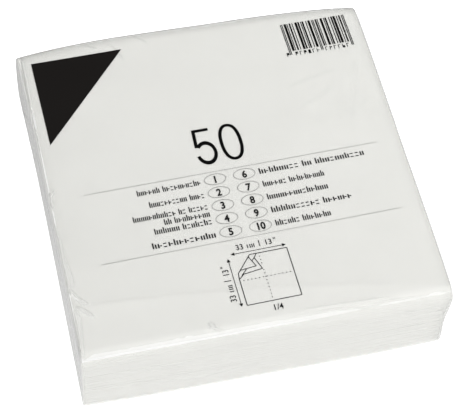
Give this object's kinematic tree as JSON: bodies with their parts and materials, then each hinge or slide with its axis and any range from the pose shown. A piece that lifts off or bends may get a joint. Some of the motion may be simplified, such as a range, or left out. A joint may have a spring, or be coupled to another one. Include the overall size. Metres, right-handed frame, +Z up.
{
  "type": "pack of paper napkins",
  "caption": "Flat square pack of white tissue napkins, each folded in four, stacked and sealed in clear film with a plain printed panel on top.",
  "frame": {"origin": "under the middle of the pack, on the surface that it rests on", "axes": "+X to the right along the printed lines, +Y to the back of the pack, +Z up through the stack"},
  "size_m": [0.167, 0.1668, 0.0415],
  "materials": {
    "tissue": "soft matt tissue",
    "clear_film": "clear glossy film",
    "warm_black_ink": "printed ink under gloss",
    "black_ink": "printed ink under gloss",
    "dark_ink": "printed ink under gloss",
    "grey_ink": "printed ink under gloss"
  },
  "bodies": {
    "root": {"napkin_01": "tissue", "napkin_02": "tissue", "napkin_03": "tissue", "napkin_04": "tissue", "napkin_05": "tissue", "napkin_06": "tissue", "napkin_07": "tissue", "napkin_08": "tissue", "napkin_09": "tissue", "napkin_10": "tissue", "napkin_11": "tissue", "napkin_12": "tissue", "napkin_13": "tissue", "napkin_14": "tissue", "napkin_15": "tissue", "napkin_16": "tissue", "napkin_17": "tissue", "napkin_18": "tissue", "napkin_19": "tissue", "napkin_20": "tissue", "napkin_21": "tissue", "napkin_22": "tissue", "napkin_23": "tissue", "napkin_24": "tissue", "napkin_25": "tissue", "napkin_26": "tissue", "napkin_27": "tissue", "napkin_28": "tissue", "napkin_29": "tissue", "napkin_30": "tissue", "napkin_31": "tissue", "napkin_32": "tissue", "napkin_33": "tissue", "napkin_34": "tissue", "napkin_35": "tissue", "napkin_36": "tissue", "napkin_37": "tissue", "napkin_38": "tissue", "napkin_39": "tissue", "napkin_40": "tissue", "napkin_41": "tissue", "napkin_42": "tissue", "napkin_43": "tissue", "napkin_44": "tissue", "napkin_45": "tissue", "napkin_46": "tissue", "napkin_47": "tissue", "napkin_48": "tissue", "napkin_49": "tissue", "napkin_50": "tissue", "film_wrapper": "clear_film", "print_corner_patch": "warm_black_ink", "print_bar_field": "black_ink", "print_number": "black_ink", "print_rules": "grey_ink", "print_ovals": "grey_ink", "print_text": "dark_ink", "print_fold_diagram": "dark_ink"}
  },
  "joints": []
}
